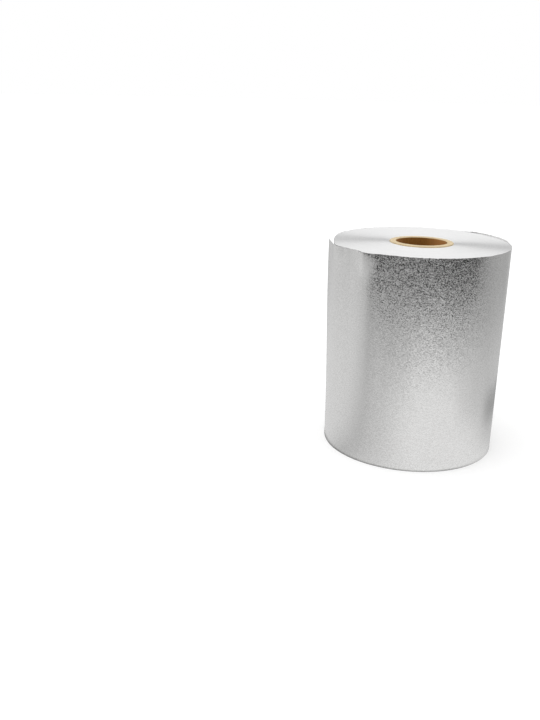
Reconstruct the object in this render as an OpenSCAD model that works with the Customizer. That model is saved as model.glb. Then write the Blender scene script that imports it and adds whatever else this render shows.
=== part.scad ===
// Roll of embossed aluminium foil, wound on a paper tube and standing on its end.
// The axis of the roll is Z. Both lower end faces lie on Z = 0. Sizes are in millimetres,
// and angles around the axis are in degrees from +X, so -90 is the front and -180 the left.

/* [Wound foil] */
// Width of the foil, which is the height of the standing roll
foil_width = 127; // [60:1:300]
// Outer diameter of the wound turns
roll_diameter = 105; // [80:1:160]

/* [Paper tube] */
// Outer diameter of the tube, which is the hole in the wound turns
tube_outer_d = 38; // [36:0.5:60]
// Bore of the tube
tube_bore_d = 30.5; // [20:0.5:31]
// Length of tube that stands out of the upper face of the foil
tube_proud = 0.4; // [0.2:0.1:5]
// Small break on the cut edges of the tube
tube_edge = 0.4; // [0.1:0.1:0.8]

/* [Loose outer turn] */
// Thickness of the loose sheet, with its embossing
sheet_t = 0.2; // [0.15:0.05:0.4]
// Angle where the sheet leaves the roll
leave_angle = -106; // [-130:1:-90]
// Angle of the free cut end
end_angle = -180; // [-200:1:-170]
// Stand-off of the first wave at the upper edge
wave_1 = 2.0; // [2:0.1:7]
// Stand-off of the valley between the two waves at the upper edge
valley = 1.8; // [1:0.1:3]
// Stand-off of the second wave at the upper edge
wave_2 = 3.2; // [2:0.1:7]
// Stand-off of the free end at the upper edge
end_gap = 2.9; // [2:0.1:6]
// Share of the stand-off that is left at the lower edge
low_share = 0.08; // [0.05:0.01:0.3]

/* [Hidden] */
$fn = 180;
roll_r = roll_diameter / 2;
tube_length = foil_width + tube_proud;
// columns around the loose sheet and rows up it
cols = 26;
rows = 10;
// how deep the root of the sheet is sunk in the turns below it
sink = 0.5;
// least height of the sheet's outer surface over the turns it lies on
lie = 0.3;
// stand-off at the upper edge against the share of the way from root to free end
WAVES = [[0, 0], [0.2, wave_1], [0.38, valley], [0.57, wave_2], [0.81, 0.9 * end_gap], [1, end_gap]];

function ease(t) = (1 - cos(180 * t)) / 2;
function mix(a, b, t) = a + (b - a) * ease(t);
function wave(u, k = 0) =
    u >= 1 ? end_gap :
    u < WAVES[k + 1][0]
        ? mix(WAVES[k][1], WAVES[k + 1][1], (u - WAVES[k][0]) / (WAVES[k + 1][0] - WAVES[k][0]))
        : wave(u, k + 1);
function fade(h) = mix(low_share, 1, h);
function stand_off(u, h) = wave(u) * fade(h);
// radius of the sheet's outer and inner surface at column i, row j
function outer_r(i, j) = roll_r + (i == 0 ? -sink : max(lie, stand_off(i / cols, j / rows)));
function inner_r(i, j) =
    let (s = stand_off(i / cols, j / rows) - sheet_t)
    roll_r + (i == 0 ? -2 * sink : s > 0.3 ? s : -sink);
function at(r, i, j) =
    let (a = leave_angle + (end_angle - leave_angle) * i / cols)
    [r * cos(a), r * sin(a), foil_width * j / rows];

// The loose end of the outermost turn: a thin sheet that leaves the roll, runs in two low waves
// along its upper edge, and lies almost flat on the roll at its lower edge.
module loose_turn() {
    step = rows + 1;
    layer = (cols + 1) * step;
    pts = concat(
        [for (i = [0:cols]) for (j = [0:rows]) at(outer_r(i, j), i, j)],
        [for (i = [0:cols]) for (j = [0:rows]) at(inner_r(i, j), i, j)]);
    faces = concat(
        [for (i = [0:cols - 1]) for (j = [0:rows - 1])
            let (a = i * step + j, b = a + step) each [[a, b, b + 1], [a, b + 1, a + 1]]],
        [for (i = [0:cols - 1]) for (j = [0:rows - 1])
            let (a = layer + i * step + j, b = a + step) each [[a, b + 1, b], [a, a + 1, b + 1]]],
        [for (i = [0:cols - 1])
            let (a = i * step, b = a + step) each [[a, a + layer, b + layer], [a, b + layer, b]]],
        [for (i = [0:cols - 1])
            let (a = i * step + rows, b = a + step) each [[a, b + layer, a + layer], [a, b, b + layer]]],
        [for (j = [0:rows - 1])
            let (a = j) each [[a, a + 1, a + 1 + layer], [a, a + 1 + layer, a + layer]]],
        [for (j = [0:rows - 1])
            let (b = cols * step + j) each [[b, b + 1 + layer, b + 1], [b, b + layer, b + 1 + layer]]]);
    polyhedron(points = pts, faces = faces, convexity = 6);
}

// All the turns of foil as one solid, with the hole that the tube fills.
module foil() {
    color([0.82, 0.83, 0.84])
    union() {
        difference() {
            cylinder(h = foil_width, r = roll_r);
            translate([0, 0, -1]) cylinder(h = foil_width + 2, d = tube_outer_d);
        }
        loose_turn();
    }
}

// Paper tube with lightly broken cut edges.
module core() {
    ri = tube_bore_d / 2;
    ro = tube_outer_d / 2;
    e = tube_edge;
    color([0.72, 0.60, 0.43])
    rotate_extrude()
    polygon([[ri, e], [ri + e, 0], [ro, 0], [ro, tube_length - e], [ro - e, tube_length],
             [ri + e, tube_length], [ri, tube_length - e]]);
}

foil();
core();
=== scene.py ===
"""Looks of a roll of embossed aluminium foil on a paper tube, standing on its end.

All lengths are in metres, and angles around the roll's axis are in degrees from +X.
The roll's surface is one strip of foil: it starts at the loose free end on the left, leaves
the roll in two low waves, and then wraps the wound turns once and ends under its own loose part.
"""
import math

import bpy
import numpy as np
from mathutils import Matrix, Vector


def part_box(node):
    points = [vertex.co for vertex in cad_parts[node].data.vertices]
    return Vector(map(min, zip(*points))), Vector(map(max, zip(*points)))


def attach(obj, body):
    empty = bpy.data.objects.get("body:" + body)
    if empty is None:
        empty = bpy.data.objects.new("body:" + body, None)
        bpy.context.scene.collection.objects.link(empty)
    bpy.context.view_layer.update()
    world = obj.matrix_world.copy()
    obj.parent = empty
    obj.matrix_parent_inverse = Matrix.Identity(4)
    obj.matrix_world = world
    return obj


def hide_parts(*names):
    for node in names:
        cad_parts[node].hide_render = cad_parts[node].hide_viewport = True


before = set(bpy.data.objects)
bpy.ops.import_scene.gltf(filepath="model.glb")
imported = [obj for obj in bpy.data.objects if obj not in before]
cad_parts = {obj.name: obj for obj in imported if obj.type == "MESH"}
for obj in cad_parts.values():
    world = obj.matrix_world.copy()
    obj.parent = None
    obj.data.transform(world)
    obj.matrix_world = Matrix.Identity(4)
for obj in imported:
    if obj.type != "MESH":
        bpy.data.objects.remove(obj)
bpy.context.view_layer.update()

MM = 0.001

# ------------------------------------------------------------------ sizes, partly from the imported model
foil_lo, foil_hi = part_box("foil")
core_lo, core_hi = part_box("core")
H = foil_hi.z                       # foil width
R = 0.0525                          # wound turns, outside
RC = core_hi.x                      # tube, outside
RB = 0.01525                        # tube, bore
HC = core_hi.z                      # tube length

LEAVE, END = -106.0, -180.0         # where the loose turn leaves the roll, and its free end
WAVES = [(0.0, 0.0), (0.2, 2.0), (0.38, 1.8), (0.57, 3.2), (0.81, 2.61), (1.0, 2.9)]
# the same for the crumple in the last few millimetres under the upper edge
CRUMPLE = [(0.0, 0.0), (0.12, 0.0), (0.2, 1.6), (0.25, 1.9), (0.34, -0.3), (0.47, 0.0), (0.59, 1.1), (0.72, 0.0), (1.0, 0.0)]
LOW_SHARE = 0.08
SHEET = 0.10 * MM                   # thickness of the strip
STEP_IN = 0.24 * MM                 # how far the strip runs inwards over one turn
PROUD = 0.7                         # how far the strip's upper edge stands up on the far right, in mm

rng = np.random.default_rng(20)


# ------------------------------------------------------------------ smooth random fields
def lattice_noise(x, y, cell, seed, wrap_x=None):
    """Smooth noise from -1 to 1 over the plane; wrap_x is the length at which it repeats."""
    g = np.random.default_rng(seed)
    n = 4096
    table = g.uniform(-1, 1, n)
    mix = g.permutation(n)
    nx = max(1, int(round(wrap_x / cell))) if wrap_x else None
    cx = wrap_x / nx if wrap_x else cell
    u, v = np.asarray(x) / cx, np.asarray(y) / cell
    iu, iv = np.floor(u).astype(int), np.floor(v).astype(int)
    fu, fv = u - iu, v - iv
    fu, fv = fu * fu * (3 - 2 * fu), fv * fv * (3 - 2 * fv)

    def at(a, b):
        a = a % nx if nx else a
        return table[(mix[(a * 73 + 11) % n] + mix[(b * 151 + 37) % n] + a * 5 + b * 17) % n]

    return ((at(iu, iv) * (1 - fu) + at(iu + 1, iv) * fu) * (1 - fv)
            + (at(iu, iv + 1) * (1 - fu) + at(iu + 1, iv + 1) * fu) * fv)


def turned_noise(x, y, cell, seed, turn):
    c, s = math.cos(turn), math.sin(turn)
    return lattice_noise(x * c - y * s, x * s + y * c, cell, seed)


# ------------------------------------------------------------------ shape of the strip
def wave(u, points=WAVES):
    """Stand-off in millimetres at the upper edge, u from 0 at the root to 1 at the free end."""
    u = np.clip(u, 0, 1)
    out = np.zeros_like(u)
    for (u0, s0), (u1, s1) in zip(points[:-1], points[1:]):
        m = (u >= u0) & (u <= u1)
        t = (u[m] - u0) / (u1 - u0)
        out[m] = s0 + (s1 - s0) * (1 - np.cos(np.pi * t)) / 2
    return out


def fade(h):
    return LOW_SHARE + (1 - LOW_SHARE) * (1 - np.cos(np.pi * np.clip(h, 0, 1))) / 2


def stand_off(u, z):
    """How far the loose turn stands off the roll, in millimetres."""
    return wave(u) * fade(z / H) + wave(u, CRUMPLE) * np.exp(-((H - z) / (9.0 * MM)) ** 2)


def out_of_round(theta, z):
    """The soft waviness that the wound turns share, in metres. theta is in degrees."""
    t, zz = np.radians(theta), z / H
    soft = lattice_noise((theta % 360.0), zz * 70.0, 30.0, 5, wrap_x=360.0)
    return MM * (0.10 * np.sin(2 * t + 2.6) + 0.07 * np.sin(3 * t - 1.1 + 0.8 * zz)
                 + 0.02 * np.sin(7 * t + 2.2 * zz) + 0.045 * soft)


def strip_radius(phi, z):
    """Outer radius of the strip, phi degrees past its free end, with no embossing."""
    theta = END + phi
    base = R - STEP_IN * (phi - (LEAVE - END)) / 360.0
    u = 1 - phi / (LEAVE - END)
    loose = np.where(phi < LEAVE - END, stand_off(u, z), 0.0) * MM
    # the cut end curls outwards a hair
    loose = loose + 0.11 * MM * np.exp(-np.radians(phi) * R / (1.3 * MM))
    return base + loose + out_of_round(theta, z)


def body_radius(theta, z):
    """Outer radius of the turns under the strip. theta runs from -180 to 180."""
    u = np.clip((LEAVE - theta) / (LEAVE - END), 0, 1)
    # the turns next to the loose one have slackened with it, except near its free end
    t = np.clip((u - 0.62) / 0.26, 0, 1)
    slack = MM * 0.84 * (1 - t * t * (3 - 2 * t)) * stand_off(u, z)
    phi = np.where(theta < LEAVE, theta - END + 360.0, theta - END)
    base = R - STEP_IN * (phi - (LEAVE - END)) / 360.0
    # the step under the root of the strip, eased over a few degrees
    k = np.clip((theta - LEAVE) / 5.0, 0, 1)
    base = np.where((theta >= LEAVE) & (k < 1), base - STEP_IN * (1 - k), base)
    return base - SHEET - 0.05 * MM + out_of_round(theta, z) + slack


def emboss(s, z):
    """The embossed relief in metres, over the length s along the strip and the height z."""
    z = z / 1.3
    a = turned_noise(s, z, 0.95 * MM, 31, 0.5)
    b = turned_noise(s, z, 1.50 * MM, 32, 1.4)
    return MM * (0.008 * a + 0.0045 * b)


# ------------------------------------------------------------------ mesh helpers
def to_mesh(name, verts, faces, slots, uvs=None, sharp=None):
    """verts (n, 3), faces as lists of indices, slots as one material index a face."""
    me = bpy.data.meshes.new(name)
    sizes = np.array([len(f) for f in faces], np.int32)
    flat = np.fromiter((i for f in faces for i in f), np.int32, int(sizes.sum()))
    me.vertices.add(len(verts))
    me.vertices.foreach_set("co", np.asarray(verts, np.float32).ravel())
    me.loops.add(len(flat))
    me.loops.foreach_set("vertex_index", flat)
    me.polygons.add(len(faces))
    starts = np.concatenate([[0], np.cumsum(sizes)[:-1]]).astype(np.int32)
    me.polygons.foreach_set("loop_start", starts)
    me.polygons.foreach_set("material_index", np.asarray(slots, np.int32))
    me.polygons.foreach_set("use_smooth", np.ones(len(faces), bool))
    if uvs is not None:
        layer = me.uv_layers.new(name="OFBake")
        layer.data.foreach_set("uv", np.asarray(uvs, np.float32).ravel())
    me.update(calc_edges=True)
    me.validate(clean_customdata=False)
    if sharp is not None:
        marks = np.zeros(len(me.edges), bool)
        pairs = np.zeros(len(me.edges) * 2, np.int32)
        me.edges.foreach_get("vertices", pairs)
        pairs = pairs.reshape(-1, 2)
        on = np.zeros(len(verts), bool)
        for loop in sharp:
            on[:] = False
            on[loop] = True
            marks |= on[pairs[:, 0]] & on[pairs[:, 1]]
        layer = me.attributes.get("sharp_edge") or me.attributes.new("sharp_edge", "BOOLEAN", "EDGE")
        layer.data.foreach_set("value", marks)
    ob = bpy.data.objects.new(name, me)
    bpy.context.scene.collection.objects.link(ob)
    return ob


def zipper(a, za, b, zb):
    """Triangles between two chains of vertices that share their heights' range, a on the right."""
    out, i, j = [], 0, 0
    while i < len(a) - 1 or j < len(b) - 1:
        if j == len(b) - 1 or (i < len(a) - 1 and za[i + 1] <= zb[j + 1]):
            out.append((a[i], a[i + 1], b[j]))
            i += 1
        else:
            out.append((a[i], b[j + 1], b[j]))
            j += 1
    return out


# ------------------------------------------------------------------ the outer strip of foil
def make_strip():
    grid = 0.76 * MM
    d_phi = math.degrees(grid / R)
    last = 428.0
    fine = np.arange(0, 368.0, d_phi)
    coarse = np.linspace(368.0, last, 22)
    phi = np.concatenate([fine, coarse])
    nc = len(phi)
    nr = int(round(H / grid)) + 1
    zrow = np.linspace(0, H, nr)
    P, Z = np.meshgrid(phi, zrow, indexing="ij")
    P, Z = P.copy(), Z.copy()
    # the grid is shaken a little, so that the embossing shows no rows
    inside = (slice(1, len(fine) - 1), slice(1, nr - 1))
    P[inside] += rng.uniform(-0.30, 0.30, P[inside].shape) * d_phi
    Z[inside] += rng.uniform(-0.30, 0.30, Z[inside].shape) * grid
    # the slit edges run a little ragged, and the upper one stands proud on the far right
    th = END + phi
    rag = (0.08 * lattice_noise(phi, phi * 0, 3.0, 41) + 0.09 * lattice_noise(phi, phi * 0, 1.1, 42))
    turned = (th + 180.0) % 360.0 - 180.0
    proud = PROUD * np.clip((turned - 8) / 8, 0, 1) * np.clip((60 - turned) / 8, 0, 1) * (phi > 74) * (phi < 360)
    under = np.clip((phi - 350) / 10, 0, 1)
    top = H + MM * (0.10 + rag + proud) * (1 - under) - MM * 0.25 * under
    low = MM * np.clip(0.05 + 0.08 * lattice_noise(phi, phi * 0, 2.3, 43), 0, 0.2)
    Z = low[:, None] + Z / H * (top - low)[:, None]
    s = np.radians(P) * R
    lean = (proud / PROUD)[:, None] * np.clip((Z - (H - 0.6 * MM)) / (1.3 * MM), 0, 1)
    r = strip_radius(P, Z) + lean * 0.26 * MM
    relief = emboss(s, Z)
    relief *= np.clip((368.0 - P) / 8.0, 0.3, 1.0)
    ro = r + relief
    outer = np.stack([ro * np.cos(np.radians(END + P)), ro * np.sin(np.radians(END + P)), Z], -1)
    # inner skin: the same columns, with every second row behind the loose part and few elsewhere
    few = np.unique(np.append(np.round(np.linspace(0, nr - 1, 9)).astype(int), nr - 2))
    split = int(np.searchsorted(phi, LEAVE - END + 2.0))
    verts = [outer.reshape(-1, 3)]
    base = nc * nr
    dense_cols = range(0, split + 1)
    sparse_cols = range(split, nc)
    # dense part, every second row and column, to keep the piece light
    dcols = sorted(set(range(0, split, 2)) | {split})
    faces, slots, uvs = [], [], []

    # where each face goes on the map: the outer skin in two rows, the inner skin below them
    length = phi[-1]
    half = 214.0

    def uv_outer(c, rr):
        row = 0 if phi[c] < half - 1e-6 else 1
        return row

    def put(face, slot, coords):
        faces.append(face)
        slots.append(slot)
        uvs.extend(coords)

    vz = np.linspace(0, 1, nr)
    cut = int(np.searchsorted(phi, half))
    for c in range(nc - 1):
        if c < cut:
            u0, u1 = phi[c] / phi[cut], phi[c + 1] / phi[cut]
            v0, v1 = 0.54, 0.99
        else:
            u0 = (phi[c] - phi[cut]) / (length - phi[cut])
            u1 = (phi[c + 1] - phi[cut]) / (length - phi[cut])
            v0, v1 = 0.07, 0.52
        u0, u1 = 0.002 + 0.996 * u0, 0.002 + 0.996 * u1
        for k in range(nr - 1):
            a, b = c * nr + k, (c + 1) * nr + k
            ya, yb = v0 + (v1 - v0) * vz[k], v0 + (v1 - v0) * vz[k + 1]
            put((a, b, b + 1, a + 1), 0, [(u0, ya), (u1, ya), (u1, yb), (u0, yb)])

    # inner skin vertices: one chain of rows for each column, every second row for loose columns
    inner_index = {}
    pos = base
    rows_of = {}
    for c in range(nc):
        rows = list(range(0, nr, 2)) if c <= split else list(few)
        if rows[-1] != nr - 1:
            rows.append(nr - 1)
        rows_of[c] = rows
        rr = r[c, rows] - SHEET
        if c <= split:
            rr = rr + 0.6 * relief[c, rows]
            rr = np.minimum(rr, ro[c, rows] - 0.04 * MM)
        ang = np.radians(END + P[c, rows])
        verts.append(np.stack([rr * np.cos(ang), rr * np.sin(ang), Z[c, rows]], -1))
        inner_index[c] = np.arange(pos, pos + len(rows))
        pos += len(rows)
    for c in range(nc - 1):
        ia, ib = inner_index[c], inner_index[c + 1]
        u0, u1 = 0.002 + 0.996 * phi[c] / length, 0.002 + 0.996 * phi[c + 1] / length
        if len(ia) == len(ib):
            for k in range(len(ia) - 1):
                y0 = 0.005 + 0.045 * k / (len(ia) - 1)
                y1 = 0.005 + 0.045 * (k + 1) / (len(ia) - 1)
                put((ia[k], ia[k + 1], ib[k + 1], ib[k]), 0, [(u0, y0), (u0, y1), (u1, y1), (u1, y0)])
        else:
            for t in zipper(list(ib), list(Z[c + 1, rows_of[c + 1]]), list(ia), list(Z[c, rows_of[c]])):
                # seen from the axis, the next column is on the left
                put((t[2], t[1], t[0]), 0, [(u0, 0.01), (u1, 0.04), (u1, 0.01)])
    # the slit edges, above and below, and the two cut ends
    for c in range(nc - 1):
        u0, u1 = 0.002 + 0.996 * phi[c] / length, 0.002 + 0.996 * phi[c + 1] / length
        a, b = c * nr + nr - 1, (c + 1) * nr + nr - 1
        put((a, b, int(inner_index[c + 1][-1]), int(inner_index[c][-1])), 0,
            [(u0, 0.053), (u1, 0.053), (u1, 0.057), (u0, 0.057)])
        a, b = c * nr, (c + 1) * nr
        put((b, a, int(inner_index[c][0]), int(inner_index[c + 1][0])), 0,
            [(u1, 0.060), (u0, 0.060), (u0, 0.064), (u1, 0.064)])
    for c, flip in ((0, False), (nc - 1, True)):
        chain_o = [c * nr + k for k in range(nr)]
        for t in zipper(chain_o, list(Z[c]), [int(i) for i in inner_index[c]], list(Z[c, rows_of[c]])):
            t = tuple(int(i) for i in t)
            if flip:
                t = (t[2], t[1], t[0])
            put(t, 0, [(0.01, 0.999), (0.02, 0.999), (0.02, 0.9995)])
    faces = [tuple(int(i) for i in f) for f in faces]
    top_o = [c * nr + nr - 1 for c in range(nc)]
    low_o = [c * nr for c in range(nc)]
    top_i = [int(inner_index[c][-1]) for c in range(nc)]
    low_i = [int(inner_index[c][0]) for c in range(nc)]
    ends = [[c * nr + k for k in range(nr)] for c in (0, nc - 1)]
    ends += [[int(i) for i in inner_index[c]] for c in (0, nc - 1)]
    ob = to_mesh("outer_turn", np.concatenate(verts), faces, slots, uvs, sharp=[top_o, low_o, top_i, low_i] + ends)
    return ob


# ------------------------------------------------------------------ the wound turns under it
def make_turns():
    n = 400
    theta = np.linspace(-180, 180, n, endpoint=False) + 0.0
    r_in = RC + 0.03 * MM
    rings = np.concatenate([[0.0], np.cumsum(rng.uniform(0.6, 1.4, 72))])
    rings = rings / rings[-1]
    nrings = len(rings)
    T = np.radians(theta)

    def face_height(k, seed, amount):
        """Height of the wound edges: turns that stand a hair proud or low, and a slight dish."""
        rr = rings[k] * 33.5
        ring = (0.55 * lattice_noise(np.full(n, rr), theta * 0, 0.9, seed)
                + 0.45 * lattice_noise(np.full(n, rr), theta * 0, 2.6, seed + 1))
        drift = lattice_noise(theta % 360.0, np.full(n, rr * 6.0), 24.0, seed + 2, wrap_x=360.0)
        speck = lattice_noise(theta % 360.0, np.full(n, rr * 4.0), 2.4, seed + 3, wrap_x=360.0)
        # a slight dish, and the inmost turns sit a little lower beside the tube
        dish = -0.10 * math.sin(math.pi * rings[k]) ** 2 - 0.45 * math.exp(-rr / 1.7)
        soft = min(1.0, (1 - rings[k]) * 12) * min(1.0, rings[k] * 12)
        return amount * MM * (dish + soft * (0.045 * ring + 0.05 * drift + 0.012 * speck))

    verts, faces, slots, uvs = [], [], [], []
    rout_top = body_radius(theta, np.full(n, H))
    rout_low = body_radius(theta, np.zeros(n))
    for k in range(nrings):
        r = r_in + (rout_top - r_in) * rings[k]
        verts.append(np.stack([r * np.cos(T), r * np.sin(T), H + face_height(k, 60, 1.0)], -1))
    walls = 24
    for k in range(1, walls):
        z = H * (1 - k / walls)
        r = body_radius(theta, np.full(n, z))
        verts.append(np.stack([r * np.cos(T), r * np.sin(T), np.full(n, z)], -1))
    low0 = nrings + walls - 1
    for k in range(nrings):
        r = r_in + (rout_low - r_in) * rings[nrings - 1 - k]
        dz = np.abs(face_height(nrings - 1 - k, 80, 0.6))
        verts.append(np.stack([r * np.cos(T), r * np.sin(T), dz], -1))
    bores = 6
    for k in range(1, bores):
        z = H * k / bores
        verts.append(np.stack([r_in * np.cos(T), r_in * np.sin(T), np.full(n, z)], -1))
    total = len(verts)
    for k in range(total):
        k2 = (k + 1) % total
        if k < nrings - 1:
            slot, kind = 0, "top"
        elif k < low0:
            slot, kind = 1, "wall"
        elif k < low0 + nrings - 1:
            slot, kind = 0, "low"
        else:
            slot, kind = 1, "bore"
        for i in range(n):
            j = (i + 1) % n
            faces.append((k * n + i, k2 * n + i, k2 * n + j, k * n + j))
            slots.append(slot)
            if kind in ("top", "low"):
                cx, cy = (0.25, 0.75) if kind == "top" else (0.75, 0.75)
                for kk, ii in ((k, i), (k2, i), (k2, j), (k, j)):
                    q = kk if kind == "top" else total  # both faces are laid flat as seen
                    rr = rings[kk] if kind == "top" else rings[nrings - 1 - (kk - low0)]
                    rad = (0.36 + 0.64 * rr) * 0.245
                    uvs.append((cx + rad * math.cos(T[ii]), cy + rad * math.sin(T[ii])))
            else:
                y0, y1 = (0.26, 0.49) if kind == "wall" else (0.01, 0.24)
                f0 = (k - nrings + 1) / walls if kind == "wall" else (k - low0 - nrings + 1) / bores
                f1 = f0 + (1 / walls if kind == "wall" else 1 / bores)
                a, b = i / n, (i + 1) / n
                uvs += [(a, y0 + (y1 - y0) * f0), (a, y0 + (y1 - y0) * f1), (b, y0 + (y1 - y0) * f1), (b, y0 + (y1 - y0) * f0)]
    edge = lambda k: list(range(k * n, (k + 1) * n))
    return to_mesh("wound_turns", np.concatenate(verts), faces, slots, uvs,
                   sharp=[edge(0), edge(nrings - 1), edge(low0), edge(low0 + nrings - 1)])


# ------------------------------------------------------------------ the paper tube
def make_tube():
    n = 256
    theta = np.linspace(0, 360, n, endpoint=False)
    T = np.radians(theta)
    ro = RC - 0.01 * MM
    lead, gap, depth = 57.0 * MM, 0.55 * MM, 0.16 * MM

    def seam(th, z, start):
        """Distance from the helical butt joint of the inmost ply, along Z."""
        d = (z - start - lead * th / 360.0) % lead
        return np.minimum(d, lead - d)

    def bore_r(z, th):
        d = seam(th, z, 9.0 * MM)
        groove = depth * np.exp(-(d / gap) ** 2)
        fuzz = 0.02 * MM * lattice_noise(th, z / MM * 2.5, 6.0, 90, wrap_x=360.0)
        return RB + groove + fuzz

    verts, faces, slots, uvs, kinds = [], [], [], [], []

    def ring(r, z, kind):
        z = z + 0 * T
        # the upper cut is not quite square: it is lowest at the back
        z = z - 0.011 * (RC + r * np.sin(T)) * np.clip((z - HC + 6 * MM) / (5 * MM), 0, 1)
        verts.append(np.stack([r * np.cos(T), r * np.sin(T), z], -1))
        kinds.append(kind)

    e = 0.4 * MM
    # the cut end falls off towards its outside, less so at the back
    drop = 0.12 * MM * (1 - 0.75 * np.clip(np.sin(T), 0, 1))
    # profile, from the top of the bore outwards over the cut end, down the outside and back up the bore
    plies = 6
    width = ro - RB
    for a in np.linspace(0, 90, 5):
        fr = math.radians(a)
        zz = HC - e + e * math.sin(fr)
        rr = RB + e - e * math.cos(fr)
        ring(rr + (bore_r(np.full(n, HC - e), theta) - RB) * math.cos(fr),
             zz + 0.03 * MM * math.sin(fr) * lattice_noise(theta, theta * 0, 7.0, 91, wrap_x=360.0), "rim")
    steps = 30
    for k in range(1, steps):
        f = k / steps
        rr = RB + e + (width - 2 * e) * f
        line = abs(((f * plies) % 1.0) - 0.5)            # 0.5 on a ply line, 0 between
        groove = 0.05 * MM * max(0.0, (line - 0.36) / 0.14)
        lump = 0.028 * MM * lattice_noise(theta, np.full(n, f * 40.0), 4.0, 92, wrap_x=360.0)
        ring(np.full(n, rr), HC - groove + lump - drop * f, "end")
    for a in np.linspace(90, 0, 5):
        fr = math.radians(a)
        ring(np.full(n, ro - e + e * math.cos(fr)), HC - e + e * math.sin(fr) - drop, "lip")
    for z in np.linspace(HC - 1.2 * MM, 1.0 * MM, 8):
        ring(np.full(n, ro), z, "out")
    for a in np.linspace(0, 90, 3):
        fr = math.radians(a)
        ring(np.full(n, ro - 0.5 * e + 0.5 * e * math.cos(fr)), 0.5 * e - 0.5 * e * math.sin(fr), "rim")
    for k in range(1, 8):
        f = 1 - k / 8
        ring(np.full(n, RB + e + (width - 1.6 * e) * f), 0.0, "end")
    for a in np.linspace(90, 0, 4):
        fr = math.radians(a)
        ring(RB + e - e * math.cos(fr) + (bore_r(np.full(n, e), theta) - RB) * math.cos(fr), e - e * math.sin(fr), "rim")
    for z in np.arange(e + 0.5 * MM, HC - e - 0.2 * MM, 0.5 * MM):
        ring(bore_r(np.full(n, z), theta), z, "bore")
    total = len(verts)
    for k in range(total):
        k2 = (k + 1) % total
        kind = kinds[k] if kinds[k] == kinds[k2] else ("bore" if "bore" in (kinds[k], kinds[k2]) else "out" if "out" in (kinds[k], kinds[k2]) else "end")
        if kinds[k] == "rim" and kinds[k2] == "rim":
            kind = "end"
        if "lip" in (kinds[k], kinds[k2]):
            kind = "out"
        slot = {"end": 0, "bore": 1, "out": 2}[kind]
        for i in range(n):
            j = (i + 1) % n
            faces.append((k * n + i, k2 * n + i, k2 * n + j, k * n + j))
            slots.append(slot)
            va, vb = k / total, (k + 1) / total
            uvs += [(i / n, va), (i / n, vb), ((i + 1) / n, vb), ((i + 1) / n, va)]
    return to_mesh("paper_tube", np.concatenate(verts), faces, slots, uvs)


# ------------------------------------------------------------------ materials
def new_material(name):
    m = bpy.data.materials.new(name)
    m.use_nodes = True
    nt = m.node_tree
    bsdf = nt.nodes["Principled BSDF"]
    return m, nt, bsdf


def node(nt, kind, **values):
    n = nt.nodes.new(kind)
    for k, v in values.items():
        if k in n.inputs:
            n.inputs[k].default_value = v
        else:
            setattr(n, k, v)
    return n


def noise_node(nt, vec, scale, detail=2.0, rough=0.5, dims="3D"):
    n = nt.nodes.new("ShaderNodeTexNoise")
    n.noise_dimensions = dims
    n.inputs["Scale"].default_value = scale
    n.inputs["Detail"].default_value = detail
    n.inputs["Roughness"].default_value = rough
    nt.links.new(vec, n.inputs["W" if dims == "1D" else "Vector"])
    return n


def maths(nt, op, a, b=None, c=None, clamp=False):
    n = nt.nodes.new("ShaderNodeMath")
    n.operation = op
    n.use_clamp = clamp
    for i, v in enumerate((a, b, c)):
        if v is None:
            continue
        if isinstance(v, (int, float)):
            n.inputs[i].default_value = v
        else:
            nt.links.new(v, n.inputs[i])
    return n.outputs[0]


def vmath(nt, op, a, b=None):
    n = nt.nodes.new("ShaderNodeVectorMath")
    n.operation = op
    for i, v in enumerate((a, b)):
        if v is None:
            continue
        if isinstance(v, tuple):
            n.inputs[i].default_value = v
        else:
            nt.links.new(v, n.inputs[i])
    return n.outputs["Value"] if op in ("DOT_PRODUCT", "LENGTH") else n.outputs["Vector"]


def dimples(nt, vec, scale, slope, shift, soft=0.12):
    """Height in metres of small pits whose sides have the given slope, and each pit's random colour."""
    cells = nt.nodes.new("ShaderNodeTexVoronoi")
    cells.feature = "SMOOTH_F1"
    cells.inputs["Scale"].default_value = scale
    cells.inputs["Smoothness"].default_value = soft
    nt.links.new(vmath(nt, "ADD", vec, shift), cells.inputs["Vector"])
    return maths(nt, "MULTIPLY", cells.outputs["Distance"], slope / scale), cells.outputs["Color"]


def facets(nt, vec, scale, tilt, shift):
    """A surface normal that is tilted a little its own way in each small cell, and the cells' random colour."""
    cells = nt.nodes.new("ShaderNodeTexVoronoi")
    cells.feature = "F1"
    cells.inputs["Scale"].default_value = scale
    # the cells are a little wider than they are high
    nt.links.new(vmath(nt, "MULTIPLY", vmath(nt, "ADD", vec, shift), (0.92, 0.92, 1.5)), cells.inputs["Vector"])
    lean = vmath(nt, "SUBTRACT", cells.outputs["Color"], (0.5, 0.5, 0.5))
    lean = vmath(nt, "MULTIPLY", lean, (2.0 * tilt, 2.0 * tilt, 2.0 * tilt))
    flat = nt.nodes.new("ShaderNodeNewGeometry")
    return vmath(nt, "NORMALIZE", vmath(nt, "ADD", flat.outputs["Normal"], lean)), cells.outputs["Color"]


def ramp(nt, fac, stops):
    n = nt.nodes.new("ShaderNodeValToRGB")
    n.color_ramp.elements[0].position, n.color_ramp.elements[0].color = stops[0][0], (*stops[0][1], 1)
    n.color_ramp.elements[1].position, n.color_ramp.elements[1].color = stops[-1][0], (*stops[-1][1], 1)
    for p, c in stops[1:-1]:
        el = n.color_ramp.elements.new(p)
        el.color = (*c, 1)
    nt.links.new(fac, n.inputs[0])
    return n.outputs[0]


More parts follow.
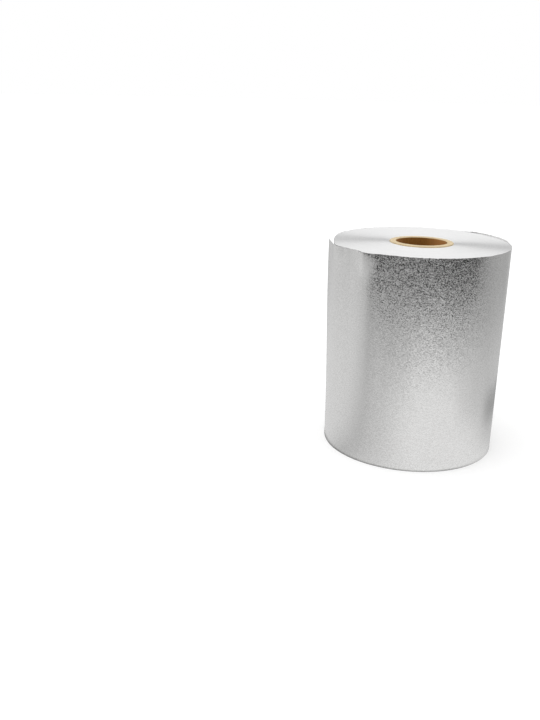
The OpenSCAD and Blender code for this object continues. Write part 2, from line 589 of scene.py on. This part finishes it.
def foil_material():
    m, nt, b = new_material("foil_embossed")
    tc = nt.nodes.new("ShaderNodeTexCoord")
    ob = tc.outputs["Object"]
    facet, big_col = facets(nt, ob, 2300.0, 0.068, (0.31, 0.17, 0.05))
    pits, _ = dimples(nt, ob, 1700.0, 0.026, (0.11, 0.47, 0.23), 0.2)
    bump = nt.nodes.new("ShaderNodeBump")
    bump.inputs["Strength"].default_value = 1.0
    bump.inputs["Distance"].default_value = 1.0
    nt.links.new(pits, bump.inputs["Height"])
    nt.links.new(facet, bump.inputs["Normal"])
    nt.links.new(bump.outputs["Normal"], b.inputs["Normal"])
    rub = noise_node(nt, ob, 45.0, 3.0, 0.6)
    rough = maths(nt, "ADD", maths(nt, "MULTIPLY", rub.outputs["Fac"], 0.06), 0.09)
    nt.links.new(rough, b.inputs["Roughness"])
    sep = nt.nodes.new("ShaderNodeSeparateColor")
    nt.links.new(big_col, sep.inputs[0])
    tone = maths(nt, "ADD", maths(nt, "MULTIPLY", sep.outputs[0], 0.8), maths(nt, "MULTIPLY", rub.outputs["Fac"], 0.2))
    tint = ramp(nt, tone, [(0.05, (0.76, 0.757, 0.748)), (0.9, (0.965, 0.962, 0.955))])
    nt.links.new(tint, b.inputs["Base Color"])
    b.inputs["Metallic"].default_value = 1.0
    return m


def edge_material():
    """The wound edges: many thin cut edges in rings, which spread light across the rings."""
    m, nt, b = new_material("foil_edges")
    tc = nt.nodes.new("ShaderNodeTexCoord")
    sep = nt.nodes.new("ShaderNodeSeparateXYZ")
    nt.links.new(tc.outputs["Object"], sep.inputs[0])
    xx = maths(nt, "MULTIPLY", sep.outputs[0], sep.outputs[0])
    yy = maths(nt, "MULTIPLY", sep.outputs[1], sep.outputs[1])
    rad = maths(nt, "SQRT", maths(nt, "ADD", xx, yy))
    fine = noise_node(nt, maths(nt, "MULTIPLY", rad, 5200.0), 1.0, 2.0, 0.6, "1D")
    wide = noise_node(nt, maths(nt, "MULTIPLY", rad, 900.0), 1.0, 2.0, 0.5, "1D")
    speck = noise_node(nt, tc.outputs["Object"], 900.0, 2.0, 0.6)
    height = maths(nt, "ADD", maths(nt, "MULTIPLY", fine.outputs["Fac"], 0.6),
                   maths(nt, "ADD", maths(nt, "MULTIPLY", wide.outputs["Fac"], 0.8), maths(nt, "MULTIPLY", speck.outputs["Fac"], 0.15)))
    bump = nt.nodes.new("ShaderNodeBump")
    bump.inputs["Strength"].default_value = 0.8
    bump.inputs["Distance"].default_value = 0.00004
    nt.links.new(height, bump.inputs["Height"])
    nt.links.new(bump.outputs["Normal"], b.inputs["Normal"])
    tone = maths(nt, "ADD", maths(nt, "MULTIPLY", wide.outputs["Fac"], 0.5), maths(nt, "MULTIPLY", speck.outputs["Fac"], 0.5))
    col = ramp(nt, tone, [(0.3, (0.86, 0.86, 0.86)), (0.7, (0.95, 0.95, 0.95))])
    nt.links.new(col, b.inputs["Base Color"])
    b.inputs["Metallic"].default_value = 1.0
    b.inputs["Roughness"].default_value = 0.42
    b.inputs["Anisotropic"].default_value = 0.97
    b.inputs["Anisotropic Rotation"].default_value = 0.25
    tan = nt.nodes.new("ShaderNodeTangent")
    tan.direction_type = "RADIAL"
    tan.axis = "Z"
    nt.links.new(tan.outputs[0], b.inputs["Tangent"])
    return m


def smooth(nt, x, lo, hi):
    n = nt.nodes.new("ShaderNodeMapRange")
    n.interpolation_type = "SMOOTHSTEP"
    n.inputs["From Min"].default_value = lo
    n.inputs["From Max"].default_value = hi
    nt.links.new(x, n.inputs["Value"])
    return n.outputs[0]


def blend(nt, fac, base, colour, share):
    """The base colour with up to the given share of another colour laid over it."""
    n = nt.nodes.new("ShaderNodeMix")
    n.data_type = "RGBA"
    nt.links.new(maths(nt, "MULTIPLY", fac, share), n.inputs[0])
    nt.links.new(base, n.inputs[6])
    n.inputs[7].default_value = (*colour, 1)
    return n.outputs[2]


def paper_material(name, dark, light, scale=1.0, plies=False, bump=0.00004, rough=0.85, shine=0.5, lit_sides=False):
    m, nt, b = new_material(name)
    tc = nt.nodes.new("ShaderNodeTexCoord")
    ob = tc.outputs["Object"]
    mapping = nt.nodes.new("ShaderNodeMapping")
    mapping.inputs["Scale"].default_value = (1.0, 1.0, 0.35)
    nt.links.new(ob, mapping.inputs["Vector"])
    fibre = noise_node(nt, mapping.outputs["Vector"], 1500.0 * scale, 4.0, 0.65)
    cloud = noise_node(nt, ob, 160.0 * scale, 3.0, 0.55)
    tone = maths(nt, "ADD", maths(nt, "MULTIPLY", fibre.outputs["Fac"], 0.6), maths(nt, "MULTIPLY", cloud.outputs["Fac"], 0.4))
    if plies:
        sep = nt.nodes.new("ShaderNodeSeparateXYZ")
        nt.links.new(ob, sep.inputs[0])
        xx = maths(nt, "MULTIPLY", sep.outputs[0], sep.outputs[0])
        yy = maths(nt, "MULTIPLY", sep.outputs[1], sep.outputs[1])
        rad = maths(nt, "SQRT", maths(nt, "ADD", xx, yy))
        lines = noise_node(nt, maths(nt, "MULTIPLY", rad, 2600.0), 1.0, 1.0, 0.5, "1D")
        tone = maths(nt, "ADD", maths(nt, "MULTIPLY", tone, 0.6), maths(nt, "MULTIPLY", lines.outputs["Fac"], 0.4))
    col = ramp(nt, tone, [(0.36, dark), (0.62, light)])
    if plies:
        # the outer plies are paler
        col = blend(nt, smooth(nt, rad, 0.0158, 0.0188), col, (0.66, 0.575, 0.435), 0.3)
    if lit_sides:
        # painted light: the bore's walls are painted paler towards its right and left sides, more on the right, as if
        # more light fell on them there
        sep = nt.nodes.new("ShaderNodeSeparateXYZ")
        nt.links.new(ob, sep.inputs[0])
        col = blend(nt, smooth(nt, sep.outputs[0], 0.001, 0.0125), col, (0.44, 0.205, 0.062), 0.85)
        col = blend(nt, smooth(nt, sep.outputs[0], -0.0085, -0.0150), col, (0.44, 0.205, 0.062), 0.6)
    nt.links.new(col, b.inputs["Base Color"])
    bump_n = nt.nodes.new("ShaderNodeBump")
    bump_n.inputs["Strength"].default_value = 0.7
    bump_n.inputs["Distance"].default_value = bump
    nt.links.new(tone, bump_n.inputs["Height"])
    nt.links.new(bump_n.outputs["Normal"], b.inputs["Normal"])
    b.inputs["Roughness"].default_value = rough
    b.inputs["Specular IOR Level"].default_value = shine
    b.inputs["Metallic"].default_value = 0.0
    return m


foil_mat = foil_material()
edge_mat = edge_material()
cut_mat = paper_material("tube_cut_end", (0.49, 0.375, 0.205), (0.67, 0.535, 0.33), plies=True)
bore_mat = paper_material("tube_bore", (0.150, 0.060, 0.007), (0.255, 0.112, 0.017), shine=0.2, lit_sides=True)
side_mat = paper_material("tube_outside", (0.44, 0.335, 0.185), (0.56, 0.445, 0.27))

strip = make_strip()
strip.data.materials.append(foil_mat)
turns = make_turns()
for mm_ in (edge_mat, foil_mat):
    turns.data.materials.append(mm_)
tube = make_tube()
for mm_ in (cut_mat, bore_mat, side_mat):
    tube.data.materials.append(mm_)

for piece, slot in ((strip, "foil"), (turns, "foil"), (tube, "core_paper")):
    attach(piece, "root")
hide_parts("foil")
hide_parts("core")

# ------------------------------------------------------------------ stage: floor and soft light
scene = bpy.context.scene


def disc(name, r0, r1, z, n=96, rings=1):
    verts, faces = [], []
    for k in range(rings + 1):
        r = r0 + (r1 - r0) * k / rings
        for i in range(n):
            a = 2 * math.pi * i / n
            verts.append((r * math.cos(a), r * math.sin(a), z))
    for k in range(rings):
        for i in range(n):
            j = (i + 1) % n
            faces.append((k * n + i, (k + 1) * n + i, (k + 1) * n + j, k * n + j))
    me = bpy.data.meshes.new(name)
    me.from_pydata(verts, [], faces)
    ob = bpy.data.objects.new(name, me)
    scene.collection.objects.link(ob)
    return ob


floor = disc("floor", 0.0005, 12.0, 0.0)
fm, nt, b = new_material("floor_pale")
b.inputs["Base Color"].default_value = (0.94, 0.94, 0.94, 1)
b.inputs["Roughness"].default_value = 0.9
b.inputs["Specular IOR Level"].default_value = 0.0
b.inputs["Emission Color"].default_value = (1, 1, 1, 1)
b.inputs["Emission Strength"].default_value = 0.05
floor.data.materials.append(fm)


def only_in_reflections(ob):
    ob.visible_camera = False
    ob.visible_diffuse = False
    ob.visible_transmission = False
    ob.visible_volume_scatter = False
    ob.visible_shadow = False


def glow_material(name, build):
    m = bpy.data.materials.new(name)
    m.use_nodes = True
    nt = m.node_tree
    nt.nodes.clear()
    out = nt.nodes.new("ShaderNodeOutputMaterial")
    em = nt.nodes.new("ShaderNodeEmission")
    nt.links.new(em.outputs[0], out.inputs["Surface"])
    value = build(nt)
    nt.links.new(value, em.inputs["Strength"])
    return m


def mix_values(nt, f, a, b):
    """a where f is 0, b where f is 1."""
    na = a if not isinstance(a, (int, float)) else None
    inv = maths(nt, "SUBTRACT", 1.0, f)
    left = maths(nt, "MULTIPLY", inv, a)
    right = maths(nt, "MULTIPLY", f, b)
    return maths(nt, "ADD", left, right)


def around(nt):
    """Sine and cosine of the direction around the roll, and the distance from its axis."""
    tc = nt.nodes.new("ShaderNodeTexCoord")
    sep = nt.nodes.new("ShaderNodeSeparateXYZ")
    nt.links.new(tc.outputs["Object"], sep.inputs[0])
    x, y, z = sep.outputs
    rad = maths(nt, "SQRT", maths(nt, "ADD", maths(nt, "MULTIPLY", x, x), maths(nt, "MULTIPLY", y, y)))
    return maths(nt, "DIVIDE", x, rad), maths(nt, "DIVIDE", y, rad), rad, z


def towards(nt, cs, sn, degrees):
    """Cosine of the angle between the direction around the roll and a given direction."""
    a = math.radians(degrees)
    return maths(nt, "ADD", maths(nt, "MULTIPLY", cs, math.cos(a)), maths(nt, "MULTIPLY", sn, math.sin(a)))


def left_share(nt, cs, sn):
    """1 towards the left and left back, where a pale card stands, and 0 elsewhere."""
    return smooth(nt, towards(nt, cs, sn, 160.0), 0.42, 0.95)


def table_glow(nt):
    """A pale table that is bright near the roll and falls off to a dim room."""
    cs, sn, rad, _ = around(nt)
    x, y = maths(nt, "MULTIPLY", cs, rad), maths(nt, "MULTIPLY", sn, rad)
    left = left_share(nt, cs, sn)
    front = smooth(nt, towards(nt, cs, sn, -65.0), 0.2, 0.95)
    near = maths(nt, "ADD", maths(nt, "ADD", 0.574, maths(nt, "MULTIPLY", front, 0.22)), maths(nt, "MULTIPLY", left, 0.12))
    right = smooth(nt, towards(nt, cs, sn, 30.0), 0.55, 1.0)
    dim = smooth(nt, towards(nt, cs, sn, -40.0), 0.2, 1.0)
    behind = smooth(nt, sn, 0.76, 1.0)
    far = maths(nt, "ADD", maths(nt, "SUBTRACT", 0.325, maths(nt, "MULTIPLY", dim, 0.08)), maths(nt, "MULTIPLY", right, 0.085))
    far = maths(nt, "ADD", far, maths(nt, "MULTIPLY", behind, 0.20))
    far = mix_values(nt, left, far, 0.62)
    # the table ends in front of the roll, and the room past it is dark
    ahead = maths(nt, "MULTIPLY", smooth(nt, sn, 0.2, -0.4), maths(nt, "SUBTRACT", 1.0, left))
    far = maths(nt, "ADD", far, maths(nt, "MULTIPLY", ahead, 0.119))
    nearer = maths(nt, "MULTIPLY", smooth(nt, towards(nt, cs, sn, -27.0), 0.78, 1.0), 0.055)
    past = maths(nt, "MULTIPLY", smooth(nt, maths(nt, "ADD", rad, nearer), 0.590, 0.714), ahead)
    far = mix_values(nt, past, far, mix_values(nt, smooth(nt, rad, 1.05, 1.9), 0.007, 0.16))
    away = mix_values(nt, ahead, smooth(nt, rad, 0.105, 0.54), smooth(nt, rad, 0.125, 0.448))
    glow = mix_values(nt, away, near, far)
    # a little less light comes from the front left
    less = maths(nt, "MULTIPLY", smooth(nt, towards(nt, cs, sn, -150.0), 0.3, 0.9), maths(nt, "SUBTRACT", 1.0, left))
    glow = maths(nt, "MULTIPLY", glow, maths(nt, "SUBTRACT", 1.0, maths(nt, "MULTIPLY", less, 0.12)))
    # soft unevenness of the light: a little more at the front, a little less at the right
    more = maths(nt, "MULTIPLY", smooth(nt, towards(nt, cs, sn, -68.0), 0.88, 1.0),
                 maths(nt, "MULTIPLY", smooth(nt, rad, 0.14, 0.25), smooth(nt, rad, 0.42, 0.30)))
    dull = maths(nt, "MULTIPLY", smooth(nt, towards(nt, cs, sn, -19.0), 0.91, 1.0),
                 maths(nt, "MULTIPLY", smooth(nt, rad, 0.095, 0.145), smooth(nt, rad, 0.27, 0.17)))
    glow = maths(nt, "MULTIPLY", glow, maths(nt, "ADD", 1.0, maths(nt, "MULTIPLY", more, 0.11)))
    glow = maths(nt, "MULTIPLY", glow, maths(nt, "SUBTRACT", 1.0, maths(nt, "MULTIPLY", dull, 0.13)))
    # painted shadow: the roll's own soft shadow on the table, at the back right, and its contact shadow where it
    # stands, painted into the table's glow
    (ax, ay), (bx, by) = (0.109, 0.050), (0.045, 0.140)
    dx, dy = maths(nt, "SUBTRACT", x, ax), maths(nt, "SUBTRACT", y, ay)
    along = maths(nt, "ADD", maths(nt, "MULTIPLY", dx, bx - ax), maths(nt, "MULTIPLY", dy, by - ay))
    along = maths(nt, "DIVIDE", along, (bx - ax) ** 2 + (by - ay) ** 2, clamp=True)
    dx = maths(nt, "SUBTRACT", dx, maths(nt, "MULTIPLY", along, bx - ax))
    dy = maths(nt, "SUBTRACT", dy, maths(nt, "MULTIPLY", along, by - ay))
    spot = maths(nt, "SQRT", maths(nt, "ADD", maths(nt, "MULTIPLY", dx, dx), maths(nt, "MULTIPLY", dy, dy)))
    shade = maths(nt, "MULTIPLY", smooth(nt, spot, 0.060, 0.004), 0.36)
    faint = smooth(nt, towards(nt, cs, sn, 10.0), 0.3, 0.9)
    painted_contact_shadow = maths(nt, "MULTIPLY", smooth(nt, rad, 0.0552, 0.0528), mix_values(nt, faint, 0.55, 0.12))
    return maths(nt, "MULTIPLY", glow, maths(nt, "MULTIPLY", maths(nt, "SUBTRACT", 1.0, shade), maths(nt, "SUBTRACT", 1.0, painted_contact_shadow)))


def room_glow(nt):
    """A dim band low down, and soft light above it."""
    cs, sn, rad, z = around(nt)
    left = left_share(nt, cs, sn)
    back = smooth(nt, sn, -0.3, 0.9)
    low = maths(nt, "ADD", mix_values(nt, back, 0.16, 0.55), maths(nt, "MULTIPLY", left, 0.25))
    tilt = maths(nt, "DIVIDE", z, maths(nt, "SQRT", maths(nt, "ADD", maths(nt, "MULTIPLY", z, z), maths(nt, "MULTIPLY", rad, rad))))
    up = smooth(nt, tilt, 0.16, 0.40)
    return mix_values(nt, up, low, 1.0)


table = disc("table_reflection", 0.0100, 3.0, 0.00004, rings=24)
table.data.materials.append(glow_material("glow_table", table_glow))
only_in_reflections(table)


def dome(name, radius, n=64, m=24):
    verts, faces = [], []
    for k in range(m + 1):
        e = math.pi / 2 * k / m
        for i in range(n):
            a = 2 * math.pi * i / n
            verts.append((radius * math.cos(e) * math.cos(a), radius * math.cos(e) * math.sin(a), radius * math.sin(e)))
    for k in range(m):
        for i in range(n):
            j = (i + 1) % n
            faces.append((k * n + i, k * n + j, (k + 1) * n + j, (k + 1) * n + i))
    me = bpy.data.meshes.new(name)
    me.from_pydata(verts, [], faces)
    me.polygons.foreach_set("use_smooth", [True] * len(faces))
    ob = bpy.data.objects.new(name, me)
    scene.collection.objects.link(ob)
    return ob


room = dome("room_reflection", 3.0)
room.data.materials.append(glow_material("glow_room", room_glow))
only_in_reflections(room)

world = bpy.data.worlds.new("studio")
scene.world = world
world.use_nodes = True
bg = world.node_tree.nodes["Background"]
bg.inputs["Color"].default_value = (1.0, 1.0, 1.0, 1)
bg.inputs["Strength"].default_value = 1.0


sun = bpy.data.lights.new("key_sky", "SUN")
sun.energy = 0.75
sun.angle = math.radians(80)
key = bpy.data.objects.new("key_sky", sun)
key.rotation_euler = Vector((0.45, 0.5, -1.3)).to_track_quat("-Z", "Y").to_euler()
key.visible_glossy = False
scene.collection.objects.link(key)

# ------------------------------------------------------------------ camera, fitted to the roll's outline
YAW, PITCH, ROLL = math.radians(10.16), math.radians(18.312), math.radians(-1.326)
fw = Vector((-math.sin(YAW) * math.cos(PITCH), math.cos(YAW) * math.cos(PITCH), -math.sin(PITCH)))
rt = Vector((math.cos(YAW), math.sin(YAW), 0))
dn = -rt.cross(fw)
rt2 = rt * math.cos(ROLL) + dn * math.sin(ROLL)
dn2 = -rt * math.sin(ROLL) + dn * math.cos(ROLL)
cam_data = bpy.data.cameras.new("camera")
cam_data.sensor_width = 36.0
cam_data.sensor_fit = "AUTO"
cam_data.lens = 833.7 / 720.0 * 36.0
cam_data.clip_start, cam_data.clip_end = 0.01, 100.0
cam = bpy.data.objects.new("camera", cam_data)
rot = Matrix((rt2, -dn2, -fw)).transposed().to_4x4()
cam.matrix_world = Matrix.Translation((0, -0.50578, 0.21458)) @ rot
scene.collection.objects.link(cam)
scene.camera = cam

scene.view_settings.view_transform = "Standard"
scene.view_settings.look = "None"
